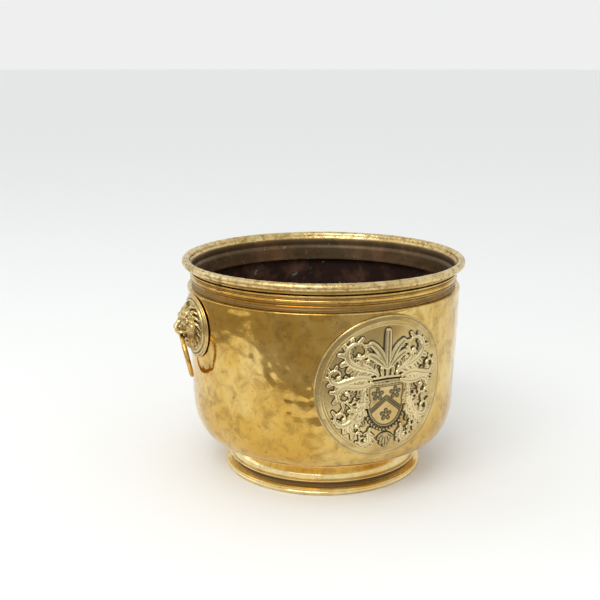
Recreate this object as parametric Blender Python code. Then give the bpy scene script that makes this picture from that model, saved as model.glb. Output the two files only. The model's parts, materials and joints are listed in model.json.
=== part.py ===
"""Brass planter pot: a spun bowl on a turned foot, with a moulded collar whose edge is rolled over a
wire, a stamped medallion on the front, and a lion mask with a loose ring on each side.

Frame: origin at the centre of the base, +Z up, the medallion faces -Y, the lion masks are on the X axis.
"""

import math

import bmesh
import bpy
from mathutils import Matrix, Vector

MM = 0.001
GAP = 0.35                 # left between pieces that are soldered or pressed together
SEGMENTS = 40              # round the pot's axis, so that coaxial pieces share their facets

# Bowl: nearly straight wall, rounded into a flat bottom
CREST_RADIUS = 137.7
CREST_HEIGHT = 190.0
TURN_RADIUS = 134.5        # where the wall starts to turn in
TURN_HEIGHT = 91.0
FLOOR_RADIUS = 100.0
FLOOR_HEIGHT = 33.3        # underside of the bowl
WALL_BULGE = 1.6
TURN_POWER = 2.7
BOWL_SHEET = 1.4
SHOULDER_INNER_RADIUS = 130.3

# Collar and its wired edge
COLLAR_SHEET = 1.2
ROLL_RADIUS = 138.65
ROLL_HEIGHT = 214.25
ROLL_OUTER = 4.35
ROLL_END = -130.0
WIRE_RADIUS = 2.7

# Foot
FOOT_FLANGE_RADIUS = 84.0
FOOT_LAND_INNER = 97.2
FOOT_LAND_OUTER = 100.8

# Lion masks and the studs that hold them
MASK_RADIUS = 31.5
MASK_HEIGHT = 158.2
MASK_HOLLOW_RADIUS = 16.0
MASK_HOLLOW_DEPTH = 6.0
STUD_OFFSET = 23.5
STUD_RADIUS = 2.0
STUD_IN_MASK = 2.6
HOLE_RADIUS = STUD_RADIUS + 0.4
WASHER_RADIUS = 5.0
WASHER_THICK = 1.0
NUT_ACROSS_FLATS = 7.0
NUT_THICK = 3.2
STUD_PROUD = 1.8

# Rings
RING_WIRE = 2.35
RING_RADIUS = 20.2
RING_PIVOT_RADIUS = 151.5
RING_PIVOT_HEIGHT = 149.5
RING_LEAN = 13.0           # the rings hang with their lower edge towards the bowl
RING_YAW = {"left": 14.0, "right": 0.0}
MOUTH_CLEARANCE = 0.45

# Medallion
MEDALLION_RADIUS = 69.0
MEDALLION_HEIGHT = 118.0
MEDALLION_SHEET = 1.2
MEDALLION_BORDER = 62.5

SIDES = {"left": -1, "right": 1}


def clear_scene():
    for thing in list(bpy.data.objects):
        bpy.data.objects.remove(thing, do_unlink=True)


def material(name, colour, roughness, metallic=1.0):
    made = bpy.data.materials.get(name)
    if made is None:
        made = bpy.data.materials.new(name)
        made.use_nodes = True
        shader = made.node_tree.nodes["Principled BSDF"]
        shader.inputs["Base Color"].default_value = (*colour, 1.0)
        shader.inputs["Roughness"].default_value = roughness
        shader.inputs["Metallic"].default_value = metallic
        made.diffuse_color = (*colour, 1.0)
    return made


def finish(name, bm, finish_material, sharp_degrees=35.0):
    """Write a bmesh, in millimetres, to a named object in metres."""
    bmesh.ops.remove_doubles(bm, verts=bm.verts, dist=0.002)
    bmesh.ops.recalc_face_normals(bm, faces=bm.faces)
    bmesh.ops.scale(bm, vec=(MM, MM, MM), verts=bm.verts)
    mesh = bpy.data.meshes.new(name)
    bm.to_mesh(mesh)
    bm.free()
    mesh.materials.append(finish_material)
    mesh.shade_smooth()
    mesh.set_sharp_from_angle(angle=math.radians(sharp_degrees))
    thing = bpy.data.objects.new(name, mesh)
    bpy.context.scene.collection.objects.link(thing)
    return thing


def arc(centre_r, centre_z, radius, start, end, points):
    """Points along an arc in the (r, z) half plane, from start to end degrees."""
    step = (end - start) / (points - 1)
    angles = [math.radians(start + step * i) for i in range(points)]
    return [(centre_r + radius * math.cos(a), centre_z + radius * math.sin(a)) for a in angles]


def lathe(outline, closed=True, segments=SEGMENTS):
    """Turn an (r, z) outline about the Z axis; an open outline starts and ends on the axis."""
    bm = bmesh.new()
    points = [bm.verts.new((r, 0.0, z)) for r, z in outline]
    pairs = list(zip(points, points[1:]))
    if closed:
        pairs.append((points[-1], points[0]))
    edges = [bm.edges.new(pair) for pair in pairs]
    bmesh.ops.spin(bm, geom=points + edges, axis=(0, 0, 1), cent=(0, 0, 0), steps=segments,
                   angle=2 * math.pi, use_merge=True)
    return bm


def cylinder(radius, start, end, sides=10):
    """A capped cylinder along X from start to end, at y = z = 0, in millimetres."""
    bm = bmesh.new()
    turn = Matrix.Rotation(math.pi / 2, 4, "Y")
    place = Matrix.Translation(((start + end) / 2, 0, 0)) @ turn
    bmesh.ops.create_cone(bm, cap_ends=True, segments=sides, radius1=radius, radius2=radius,
                          depth=abs(end - start), matrix=place)
    return bm


def cut(thing, cutters):
    """Take each cutter out of thing, then hide the cutters as guides."""
    for cutter in cutters:
        hole = thing.modifiers.new("cut_" + cutter.name, "BOOLEAN")
        hole.operation = "DIFFERENCE"
        hole.solver = "EXACT"
        hole.object = cutter
        cutter.hide_render = True
        cutter.display_type = "WIRE"


# --- the bowl's wall, which the mask plates and the medallion also follow ---

def wall_radius(z):
    """Outer radius of the bowl at height z."""
    if z >= TURN_HEIGHT:
        down = (CREST_HEIGHT - z) / (CREST_HEIGHT - TURN_HEIGHT)
        return CREST_RADIUS - (CREST_RADIUS - TURN_RADIUS) * max(down, 0.0) ** WALL_BULGE
    down = min((TURN_HEIGHT - z) / (TURN_HEIGHT - FLOOR_HEIGHT), 1.0)
    across = (1.0 - down ** TURN_POWER) ** (1.0 / TURN_POWER)
    return FLOOR_RADIUS + (TURN_RADIUS - FLOOR_RADIUS) * across


def turned_corner(sheet, points):
    """The rounded corner between floor and wall, sheet millimetres inside the outer face."""
    power = 2.0 / TURN_POWER
    corner = []
    for i in range(points):
        a = math.pi / 2 * (1.0 - i / (points - 1))
        across = max(math.cos(a), 0.0) ** power
        down = max(math.sin(a), 0.0) ** power
        corner.append((FLOOR_RADIUS + (TURN_RADIUS - FLOOR_RADIUS - sheet) * across,
                       TURN_HEIGHT - (TURN_HEIGHT - FLOOR_HEIGHT - sheet) * down))
    return corner


def make_bowl(brass):
    wall_heights = (125.0, 158.0)
    outline = [(0.0, FLOOR_HEIGHT)] + turned_corner(0.0, 8)
    outline += [(wall_radius(z), z) for z in wall_heights]
    outline += [(CREST_RADIUS, CREST_HEIGHT - 0.6), (CREST_RADIUS - 0.5, CREST_HEIGHT),
                (SHOULDER_INNER_RADIUS, CREST_HEIGHT),
                (SHOULDER_INNER_RADIUS, CREST_HEIGHT - BOWL_SHEET),
                (CREST_RADIUS - BOWL_SHEET - 0.6, CREST_HEIGHT - BOWL_SHEET),
                (CREST_RADIUS - BOWL_SHEET, CREST_HEIGHT - BOWL_SHEET - 1.0)]
    outline += [(wall_radius(z) - BOWL_SHEET, z) for z in reversed(wall_heights)]
    outline += list(reversed(turned_corner(BOWL_SHEET, 8)))
    outline += [(0.0, FLOOR_HEIGHT + BOWL_SHEET)]
    bowl = finish("bowl", lathe(outline, closed=False), brass)
    drills = []
    for side, sign in SIDES.items():
        for place, z in stud_heights().items():
            drill = finish(f"drill_{side}_{place}", cylinder(HOLE_RADIUS, 120.0, 145.0), brass)
            drill.location = (0.0, 0.0, z * MM)
            drill.rotation_euler = (0.0, 0.0, 0.0 if sign > 0 else math.pi)
            drills.append(drill)
    cut(bowl, drills)


def make_collar(brass, iron):
    """Spun collar: a cove, a fillet, a bold moulding and a fine bead, then the wired edge."""
    bottom = CREST_HEIGHT + GAP
    roll_inner = ROLL_OUTER - COLLAR_SHEET
    outline = [(133.4, bottom)]
    outline += arc(134.4, 193.8, 3.1, 245, 115, 4)
    outline += [(134.6, 197.0), (134.6, 198.1), (133.8, 198.5)]
    outline += arc(133.2, 200.2, 1.7, -55, 55, 3)
    outline += [(133.3, 202.4), (133.4, 203.7), (135.1, 204.8), (133.6, 206.1), (133.2, 208.5),
                (134.2, 211.2)]
    outline += arc(ROLL_RADIUS, ROLL_HEIGHT, roll_inner, 180, ROLL_END, 8)
    outline += arc(ROLL_RADIUS, ROLL_HEIGHT, ROLL_OUTER, ROLL_END, 180, 9)
    outline += [(133.0, 211.2), (132.0, 208.5), (132.6, 204.8), (132.1, 202.6), (132.5, 199.5),
                (131.7, 196.9)]
    outline += arc(134.4, 193.8, 4.3, 160, 200, 2)
    outline += [(131.9, bottom)]
    finish("neck_collar", lathe(outline), brass)
    finish("rim_wire", lathe(arc(ROLL_RADIUS, ROLL_HEIGHT, WIRE_RADIUS, 0, 300, 6)), iron)


def make_foot(brass):
    """Spun foot: a flange under the bowl, an ogee, a fillet, a deep scotia and a base bead."""
    top = FLOOR_HEIGHT - GAP
    outline = [(FOOT_FLANGE_RADIUS, top - COLLAR_SHEET), (89.6, top - COLLAR_SHEET), (89.9, 27.0),
               (92.8, 21.0), (95.3, 17.0), (94.6, 13.2), (91.5, 10.5), (91.5, 7.6), (96.6, 5.4),
               (FOOT_LAND_INNER, 0.0), (FOOT_LAND_OUTER, 0.0)]
    outline += arc(99.9, 2.4, 2.1, -50, 60, 4)
    outline += [(101.3, 5.6), (101.2, 6.4), (95.5, 6.9), (93.0, 8.0), (93.0, 9.8), (95.6, 11.6),
                (97.6, 12.4), (97.6, 13.6), (96.0, 14.4), (97.0, 16.2), (96.6, 18.4),
                (94.4, 21.8), (92.2, 25.4), (91.4, 29.2), (92.2, top), (FOOT_FLANGE_RADIUS, top)]
    finish("foot_ring", lathe(outline), brass)


# --- plates that follow the wall ---

def on_wall(across, up, proud, centre_height):
    """A point over the wall on the -Y side: across and up in millimetres along the sheet."""
    z = centre_height + up
    radius = wall_radius(z)
    angle = across / CREST_RADIUS
    return Vector(((radius + proud) * math.sin(angle), -(radius + proud) * math.cos(angle), z))


def plate(front, back, rings, spokes, centre_height):
    """A closed disc over the wall; front and back give heights over the wall at (across, up)."""
    bm = bmesh.new()
    layers = []
    for height in (front, back):
        loops = [[bm.verts.new(on_wall(0.0, 0.0, height(0.0, 0.0), centre_height))]]
        for radius in rings:
            loop = []
            for i in range(spokes):
                a = 2 * math.pi * i / spokes
                across, up = radius * math.sin(a), radius * math.cos(a)
                loop.append(bm.verts.new(on_wall(across, up, height(across, up), centre_height)))
            loops.append(loop)
        layers.append(loops)
    for loops in layers:
        for i in range(spokes):
            j = (i + 1) % spokes
            bm.faces.new((loops[0][0], loops[1][i], loops[1][j]))
            for inner, outer in zip(loops[1:], loops[2:]):
                bm.faces.new((inner[i], outer[i], outer[j], inner[j]))
    for i in range(spokes):
        j = (i + 1) % spokes
        edge_front, edge_back = layers[0][-1], layers[1][-1]
        bm.faces.new((edge_front[i], edge_back[i], edge_back[j], edge_front[j]))
    return bm


def bump(across, up, centre, half_width, half_height, height, power=2.0):
    """A rounded boss: full height at its centre, nothing past its half sizes."""
    reach = (abs(across - centre[0]) / half_width) ** power
    reach += (abs(up - centre[1]) / half_height) ** power
    return height * max(1.0 - reach, 0.0) ** 0.5


def medallion_front(across, up):
    radius = math.hypot(across, up)
    height = GAP + MEDALLION_SHEET
    if abs(radius - MEDALLION_BORDER) < 1.0:
        height += 0.5
    return height + bump(across, up, (0.0, -14.0), 24.0, 34.0, 1.8, 4.0)


def make_medallion(brass):
    rings = (12.0, 24.0, 36.0, 48.0, 60.0, MEDALLION_BORDER, 65.0, MEDALLION_RADIUS)
    bm = plate(medallion_front, lambda across, up: GAP, rings, 28, MEDALLION_HEIGHT)
    finish("medallion", bm, brass)


def mask_front(across, up):
    """The lion mask: a ridged plate, a mane, brow, nose, muzzle and lower lip."""
    radius = math.hypot(across, up)
    dome = 1.6 + 4.6 * max(1.0 - (radius / 29.0) ** 2, 0.0)
    ridge = 0.9 if 27.0 < radius < 29.5 else 0.0
    mane = bump(across, up, (0.0, 3.0), 19.0, 23.0, 9.5, 2.5)
    cheeks = bump(across, up, (0.0, 2.0), 12.5, 12.0, 12.5, 2.5)
    brow = bump(across, up, (0.0, 11.0), 11.0, 13.0, 15.5)
    muzzle = bump(across, up, (0.0, -7.0), 8.0, 10.0, 20.2, 3.0)
    nose = bump(across, up, (0.0, 0.5), 5.5, 9.0, 22.6)
    beard = bump(across, up, (0.0, -15.0), 6.5, 10.0, 11.0)
    return max(dome + ridge, mane, cheeks, brow, muzzle, nose, beard)


def mask_back(across, up):
    """Flat on the bowl at the edge, hollow behind the face."""
    radius = math.hypot(across, up)
    hollow = 1.0 - (radius / MASK_HOLLOW_RADIUS) ** 2
    return GAP + MASK_HOLLOW_DEPTH * max(hollow, 0.0) ** 0.5


def face_side(thing, side):
    """Turn a piece made on the -Y side to face along the X axis."""
    thing.rotation_euler = (0.0, 0.0, math.radians(90.0 * SIDES[side]))


def mouth_outline():
    """Half of the tunnel that the ring's wire sweeps in the mouth, turned about the pivot axis."""
    outline = [(0.0, -16.0)]
    for along in (-16.0, -13.0, -10.0, -6.0, 0.0, 6.0, 10.0, 13.0, 16.0):
        drop = RING_RADIUS - math.sqrt(RING_RADIUS ** 2 - along ** 2)
        outline.append((drop + RING_WIRE + MOUTH_CLEARANCE, along))
    return outline + [(0.0, 16.0)]


def make_mask(side, brass):
    rings = (4.0, 7.0, 10.0, 13.5, 18.0, 22.0, 26.0, 28.2, 30.0, MASK_RADIUS)
    mask = finish(f"lion_mask_{side}", plate(mask_front, mask_back, rings, 28, MASK_HEIGHT), brass)
    face_side(mask, side)
    tunnel = finish(f"tunnel_{side}", lathe(mouth_outline(), closed=False, segments=16), brass)
    tunnel.matrix_world = pivot_frame(side) @ Matrix.Rotation(math.pi / 2, 4, "X")
    cutters = [tunnel]
    for place, z in stud_heights().items():
        socket = finish(f"socket_{side}_{place}",
                        cylinder(HOLE_RADIUS, 130.0, wall_radius(z) + STUD_IN_MASK + GAP), brass)
        socket.location = (0.0, 0.0, z * MM)
        socket.rotation_euler = (0.0, 0.0, 0.0 if SIDES[side] > 0 else math.pi)
        cutters.append(socket)
    cut(mask, cutters)


# --- rings ---

def pivot_frame(side):
    """World placement of a ring's pivot: local Y along the wire in the mouth, local X outward."""
    sign = SIDES[side]
    place = Matrix.Translation((sign * RING_PIVOT_RADIUS * MM, 0.0, RING_PIVOT_HEIGHT * MM))
    turn = 0.0 if sign > 0 else math.pi
    return place @ Matrix.Rotation(turn + math.radians(RING_YAW[side]) * sign, 4, "Z")


def make_ring(side, brass):
    """A plain wire ring whose origin is at its pivot, hanging from the lion's mouth."""
    bm = bmesh.new()
    wire = [bm.verts.new((RING_RADIUS + r, 0.0, z)) for r, z in arc(0.0, 0.0, RING_WIRE, 0, 315, 8)]
    edges = [bm.edges.new((a, b)) for a, b in zip(wire, wire[1:] + wire[:1])]
    bmesh.ops.spin(bm, geom=wire + edges, axis=(0, 0, 1), cent=(0, 0, 0), steps=28,
                   angle=2 * math.pi, use_merge=True)
    upright = Matrix.Translation((0.0, 0.0, -RING_RADIUS)) @ Matrix.Rotation(math.pi / 2, 4, "Y")
    bmesh.ops.transform(bm, matrix=upright, verts=bm.verts)
    ring = finish(f"ring_{side}", bm, brass, 80.0)
    ring.matrix_world = pivot_frame(side) @ Matrix.Rotation(math.radians(RING_LEAN), 4, "Y")


# --- studs, washers and nuts that hold each mask through the bowl ---

def stud_heights():
    return {"upper": MASK_HEIGHT + STUD_OFFSET, "lower": MASK_HEIGHT - STUD_OFFSET}


def drilled(name, bm, metal):
    """A washer or nut with its bore cut through."""
    piece = finish(name, bm, metal)
    bore = finish("bore_" + name, cylinder(STUD_RADIUS + GAP, 115.0, 145.0), metal)
    cut(piece, [bore])
    return [piece, bore]


def make_fixings(side, brass, steel):
    for place, z in stud_heights().items():
        inside = (wall_radius(z) - BOWL_SHEET) * math.cos(math.pi / SEGMENTS) - GAP
        washer_back = inside - WASHER_THICK
        nut_face = washer_back - GAP
        nut_back = nut_face - NUT_THICK
        stud = cylinder(STUD_RADIUS, nut_back - STUD_PROUD, wall_radius(z) + STUD_IN_MASK)
        pieces = [finish(f"mask_stud_{side}_{place}", stud, brass)]
        washer = cylinder(WASHER_RADIUS, washer_back, inside, 16)
        pieces += drilled(f"stud_washer_{side}_{place}", washer, steel)
        nut = cylinder(NUT_ACROSS_FLATS / math.sqrt(3.0), nut_back, nut_face, 6)
        pieces += drilled(f"stud_nut_{side}_{place}", nut, steel)
        for piece in pieces:
            piece.location = (0.0, 0.0, z * MM)
            piece.rotation_euler = (0.0, 0.0, 0.0 if SIDES[side] > 0 else math.pi)


def main():
    clear_scene()
    body_brass = material("polished_brass", (0.72, 0.50, 0.18), 0.28)
    cast_brass = material("cast_brass", (0.70, 0.52, 0.24), 0.35)
    iron = material("iron_wire", (0.20, 0.18, 0.16), 0.6)
    steel = material("zinc_plated_steel", (0.62, 0.62, 0.60), 0.4)
    make_bowl(body_brass)
    make_collar(body_brass, iron)
    make_foot(body_brass)
    make_medallion(cast_brass)
    for side in SIDES:
        make_mask(side, cast_brass)
        make_ring(side, cast_brass)
        make_fixings(side, cast_brass, steel)


main()
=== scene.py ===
import json
import math

import bpy
import numpy as np
from mathutils import Matrix, Vector


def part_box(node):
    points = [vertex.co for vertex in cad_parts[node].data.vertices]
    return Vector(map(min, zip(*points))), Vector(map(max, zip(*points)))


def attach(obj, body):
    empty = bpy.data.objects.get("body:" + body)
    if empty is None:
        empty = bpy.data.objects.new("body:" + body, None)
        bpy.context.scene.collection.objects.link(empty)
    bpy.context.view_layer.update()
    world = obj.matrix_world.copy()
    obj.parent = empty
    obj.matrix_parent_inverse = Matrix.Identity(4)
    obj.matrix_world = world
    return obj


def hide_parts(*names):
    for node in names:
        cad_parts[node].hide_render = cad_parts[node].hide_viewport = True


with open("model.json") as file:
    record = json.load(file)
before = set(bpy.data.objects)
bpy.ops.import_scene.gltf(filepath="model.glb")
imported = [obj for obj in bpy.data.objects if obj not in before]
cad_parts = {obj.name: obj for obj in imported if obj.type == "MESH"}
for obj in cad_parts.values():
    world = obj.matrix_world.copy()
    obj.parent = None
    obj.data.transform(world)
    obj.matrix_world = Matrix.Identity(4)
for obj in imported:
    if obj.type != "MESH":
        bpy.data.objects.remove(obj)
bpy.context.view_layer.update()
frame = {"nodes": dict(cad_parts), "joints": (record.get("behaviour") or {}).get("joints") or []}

mm = 0.001
bowlLow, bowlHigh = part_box("bowl")
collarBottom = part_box("neck_collar")[0].z / mm
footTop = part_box("foot_ring")[1].z / mm
crestRadius = bowlHigh.x / mm
crestHeight = bowlHigh.z / mm
floorHeight = bowlLow.z / mm
sides = {"left": -1, "right": 1}


def startClean():
    if bpy.context.object and bpy.context.object.mode != "OBJECT":
        bpy.ops.object.mode_set(mode="OBJECT")
    bpy.ops.object.select_all(action="DESELECT")


def settle(piece, name, smoothDegrees=35):
    # leaves a piece at the origin with its place in its mesh
    startClean()
    piece.select_set(True)
    bpy.context.view_layer.objects.active = piece
    bpy.ops.object.transform_apply(location=True, rotation=True, scale=True)
    bpy.ops.object.shade_smooth_by_angle(angle=math.radians(smoothDegrees))
    piece.name = name
    piece.data.name = name
    return piece


def arcPoints(centreR, centreZ, radius, start, end, count):
    angles = np.radians(np.linspace(start, end, count))
    return [(centreR + radius * math.cos(a), centreZ + radius * math.sin(a)) for a in angles]


def divided(outline, spacing):
    # puts extra points on the straight runs of an outline, no more than spacing apart
    dense = [outline[0]]
    for (r0, z0), (r1, z1) in zip(outline, outline[1:]):
        pieces = max(1, math.ceil(math.hypot(r1 - r0, z1 - z0) / spacing))
        dense += [(r0 + (r1 - r0) * i / pieces, z0 + (z1 - z0) * i / pieces)
                  for i in range(1, pieces + 1)]
    return dense


def turnOnLathe(name, outline, steps):
    # extrudes a vertex along the outline, in millimetres, then spins it round the pot's axis
    startClean()
    bpy.ops.mesh.primitive_plane_add(size=mm, location=(outline[0][0] * mm, 0, outline[0][1] * mm))
    piece = bpy.context.object
    bpy.ops.object.transform_apply(location=True)
    bpy.ops.object.mode_set(mode="EDIT")
    bpy.ops.mesh.select_mode(type="VERT")
    bpy.ops.mesh.select_all(action="SELECT")
    bpy.ops.mesh.merge(type="CENTER")
    for (r0, z0), (r1, z1) in zip(outline, outline[1:]):
        step = ((r1 - r0) * mm, 0, (z1 - z0) * mm)
        bpy.ops.mesh.extrude_region_move(TRANSFORM_OT_translate={"value": step})
    bpy.ops.mesh.select_all(action="SELECT")
    bpy.ops.mesh.spin(steps=steps, angle=2 * math.pi, center=(0, 0, 0), axis=(0, 0, 1))
    bpy.ops.mesh.select_all(action="SELECT")
    bpy.ops.mesh.remove_doubles(threshold=0.002 * mm)
    bpy.ops.mesh.normals_make_consistent(inside=False)
    bpy.ops.object.mode_set(mode="OBJECT")
    return settle(piece, name)


def beatMetal(piece, kind, size, depth, group=None, inwardOnly=True, **extra):
    # a displace modifier with a procedural texture, applied; size and depth in millimetres
    texture = bpy.data.textures.new(f"{piece.name}_{kind.lower()}", kind)
    texture.noise_scale = size * mm
    for key, value in extra.items():
        setattr(texture, key, value)
    beat = piece.modifiers.new("beat", "DISPLACE")
    beat.texture = texture
    beat.texture_coords = "LOCAL"
    beat.strength = depth * mm
    beat.mid_level = 1.0 if inwardOnly else 0.5
    if group:
        beat.vertex_group = group
    startClean()
    bpy.context.view_layer.objects.active = piece
    bpy.ops.object.modifier_apply(modifier=beat.name)


def paintGroup(piece, name, weightAt):
    # a vertex group whose weight is weightAt(co), with co an array of points in millimetres
    co = np.zeros(len(piece.data.vertices) * 3)
    piece.data.vertices.foreach_get("co", co)
    weights = weightAt(co.reshape(-1, 3) / mm)
    group = piece.vertex_groups.new(name=name)
    for level in np.unique(np.round(weights, 2)):
        if level > 0:
            members = np.flatnonzero(np.round(weights, 2) == level).tolist()
            group.add(members, float(level), "REPLACE")
    return name


def finishPiece(piece, body, slotName, material, *nodes):
    piece.data.materials.clear()
    piece.data.materials.append(material)
    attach(piece, body)
    if nodes:
        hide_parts(*nodes)
    print(f"{piece.name}: {len(piece.data.polygons)} faces")


def linear(hexColour):
    # sRGB hex to the linear colour that a socket wants
    channels = [int(hexColour[i:i + 2], 16) / 255 for i in (1, 3, 5)]
    return [c / 12.92 if c <= 0.04045 else ((c + 0.055) / 1.055) ** 2.4 for c in channels] + [1.0]


def addNode(tree, kind, links=None, **settings):
    # one node with its settings; links maps an input to a value or to another node's output
    node = tree.nodes.new(kind)
    for key, value in settings.items():
        setattr(node, key, value)
    for key, value in (links or {}).items():
        if isinstance(value, bpy.types.NodeSocket):
            tree.links.new(value, node.inputs[key])
        else:
            node.inputs[key].default_value = value
    return node


def newMaterial(name):
    material = bpy.data.materials.new(name)
    material.use_nodes = True
    material.node_tree.nodes.clear()
    return material, material.node_tree


view = {"distance": 996.8, "height": 407.2, "down": 13.37, "azimuth": -25.2, "turnLeft": 1.352,
        "lens": 60, "sensor": 36}


def makeCamera():
    startClean()
    a = math.radians(view["azimuth"])
    place = (view["distance"] * math.sin(a) * mm, -view["distance"] * math.cos(a) * mm,
             view["height"] * mm)
    turn = (math.radians(90 - view["down"]), 0, math.radians(view["azimuth"] + view["turnLeft"]))
    bpy.ops.object.camera_add(location=place, rotation=turn)
    camera = bpy.context.object
    camera.data.lens = view["lens"]
    camera.data.sensor_width = view["sensor"]
    bpy.context.scene.camera = camera


studio = {"horizon": "#F4F5F4", "horizonAt": 0.5, "zenith": "#ECEEEE", "zenithAt": 0.95, "sky": 0.95,
          "floor": "#F8F9F9", "floorRadius": 60, "floorRough": 0.8, "floorSpecular": 0.2,
          "aimHeight": 100, "dim": "#DDD4C4", "dimGlow": 0.6, "dimReach": 4000, "dimHeight": 2,
          "tableEdge": {"front": 350, "left": -560, "right": 1500, "back": -300}}
# each lamp: its azimuth and elevation, its distance and size in metres, its watts and its colour
lamps = {"window": (-22, 48, 2.2, (1.3, 1.0), 17, "#FFFDF8"),
         "fill_left": (-95, 30, 2.4, (1.2, 1.4), 3, "#FFFFFF")}


def softBox(name, azimuth, elevation, distance, size, watts, colour):
    # a rectangular lamp that faces the pot; azimuth is measured from the camera's side
    a = math.radians(view["azimuth"] + azimuth)
    e = math.radians(elevation)
    place = Vector((math.sin(a) * math.cos(e), -math.cos(a) * math.cos(e), math.sin(e))) * distance
    aim = (Vector((0, 0, studio["aimHeight"] * mm)) - place).to_track_quat("-Z", "Y").to_euler()
    bpy.ops.object.light_add(type="AREA", location=place, rotation=aim)
    lamp = bpy.context.object
    lamp.name = name
    lamp.data.shape = "RECTANGLE"
    lamp.data.size, lamp.data.size_y = size
    lamp.data.energy = watts
    lamp.data.color = linear(colour)[:3]


def dimCard(name, left, right, near, far):
    # part of the dim room past the edge of the pale surface, as the camera sees left and near;
    # only the brass reflects it
    startClean()
    bpy.ops.mesh.primitive_plane_add(size=1)
    card = bpy.context.object
    card.name = name
    card.data.transform(Matrix.Diagonal(((right - left) * mm, (far - near) * mm, 1, 1)))
    middle = (right + left) / 2, -(far + near) / 2, studio["dimHeight"]
    card.data.transform(Matrix.Translation(Vector(middle) * mm))
    card.data.transform(Matrix.Rotation(math.radians(view["azimuth"]), 4, "Z"))
    dim, tree = newMaterial(name)
    glow = addNode(tree, "ShaderNodeEmission",
                   {"Color": linear(studio["dim"]), "Strength": studio["dimGlow"]})
    addNode(tree, "ShaderNodeOutputMaterial", {"Surface": glow.outputs["Emission"]})
    card.data.materials.append(dim)
    card.visible_camera = card.visible_diffuse = card.visible_shadow = card.visible_transmission = False


def makeStudio():
    scene = bpy.context.scene
    scene.view_settings.view_transform = "Standard"
    world = bpy.data.worlds.new("paleStudio")
    scene.world = world
    world.use_nodes = True
    tree = world.node_tree
    tree.nodes.clear()
    place = addNode(tree, "ShaderNodeTexCoord")
    parts = addNode(tree, "ShaderNodeSeparateXYZ", {"Vector": place.outputs["Generated"]})
    ramp = addNode(tree, "ShaderNodeValToRGB", {"Fac": parts.outputs["Z"]})
    ramp.color_ramp.elements[0].position = studio["horizonAt"]
    ramp.color_ramp.elements[0].color = linear(studio["horizon"])
    ramp.color_ramp.elements[1].position = studio["zenithAt"]
    ramp.color_ramp.elements[1].color = linear(studio["zenith"])
    sky = addNode(tree, "ShaderNodeBackground",
                  {"Color": ramp.outputs["Color"], "Strength": studio["sky"]})
    addNode(tree, "ShaderNodeOutputWorld", {"Surface": sky.outputs["Background"]})

    startClean()
    bpy.ops.mesh.primitive_circle_add(vertices=64, radius=studio["floorRadius"], fill_type="NGON")
    floor = bpy.context.object
    floor.name = "floor"
    pale, tree = newMaterial("matt_pale_floor")
    shader = addNode(tree, "ShaderNodeBsdfPrincipled",
                     {"Base Color": linear(studio["floor"]), "Roughness": studio["floorRough"],
                      "Specular IOR Level": studio["floorSpecular"]})
    addNode(tree, "ShaderNodeOutputMaterial", {"Surface": shader.outputs["BSDF"]})
    floor.data.materials.append(pale)
    edge = studio["tableEdge"]
    dimCard("dim_front", edge["left"], edge["right"], edge["front"], studio["dimReach"])
    dimCard("dim_left", -studio["dimReach"], edge["left"], edge["back"], studio["dimReach"])
    for name, settings in lamps.items():
        softBox(name, *settings)
    print("studio and camera ready")


# cast and spun brass share one recipe, and each finish says how it was worked and how it has aged.
# bright, warm and brown are its colours, spot its pits and recess the painted shade and dirt in its
# hollows;
# cloud, blotch, fleck and scratch are sizes in millimetres; smooth and dull are its least and most
# roughness
brassFinishes = {
    "old_spun_brass": {"bright": "#E3C47A", "warm": "#D2A850", "brown": "#9A7438",
        "browning": 0.65, "cloud": 70, "blotch": 14, "fleck": 3.4, "flecks": 0.5, "smooth": 0.06,
        "dull": 0.19, "scratch": 2.4, "scratched": 0.12, "spot": "#7C5A2A", "shade_and_dirt": "#6E5029"},
    "turned_foot_brass": {"bright": "#F4DFA6", "warm": "#E9C981", "brown": "#9A7438",
        "browning": 0.3, "cloud": 60, "blotch": 12, "fleck": 2.4, "flecks": 0.4, "smooth": 0.1,
        "dull": 0.24, "scratch": 1.6, "scratched": 0.08, "spot": "#7C5A2A", "shade_and_dirt": "#6E5029"},
    "pitted_rim_brass": {"bright": "#EAD29A", "warm": "#D8BA7C", "brown": "#7A6138",
        "browning": 0.7, "cloud": 40, "blotch": 6, "fleck": 2.6, "flecks": 1.0, "smooth": 0.2,
        "dull": 0.45, "scratch": 2.0, "scratched": 0.9, "spot": "#3E2F1B", "shade_and_dirt": "#4A3820"},
    "stamped_brass": {"bright": "#DCC48A", "warm": "#C9A96A", "brown": "#86724A", "browning": 0.45,
        "cloud": 60, "blotch": 18, "fleck": 1.8, "flecks": 0.35, "smooth": 0.14, "dull": 0.3,
        "scratch": 0.8, "scratched": 0.06, "spot": "#5A4A2C", "shade_and_dirt": "#3E3A2C"},
    "cast_brass": {"bright": "#DEC68C", "warm": "#C9AA68", "brown": "#857048", "browning": 0.6,
        "cloud": 25, "blotch": 9, "fleck": 1.4, "flecks": 0.4, "smooth": 0.16, "dull": 0.36,
        "scratch": 0.7, "scratched": 0.2, "spot": "#4C4028", "shade_and_dirt": "#565A50"},
    "worn_ring_brass": {"bright": "#E6C06C", "warm": "#CFA050", "brown": "#7C5E30",
        "browning": 0.4, "cloud": 18, "blotch": 8, "fleck": 1.2, "flecks": 0.3, "smooth": 0.14,
        "dull": 0.28, "scratch": 0.7, "scratched": 0.1, "spot": "#54401F", "shade_and_dirt": "#4E3E24"},
}
# the touched colour is a painted highlight on raised crests, together with their rub wear
patina = {"dark": "#30190F", "ridge": "#6B4A36", "verdigris": "#8FA89A", "streak": 34, "salt": 11,
          "highlightAndWear": "#F0DFB0", "highlightAndWearShare": 0.75, "shadeAndDirtMetal": 0.55, "liningMetal": 0.35,
          "shadeAndDirtRough": 0.5, "scratchDepth": 0.4}


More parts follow.
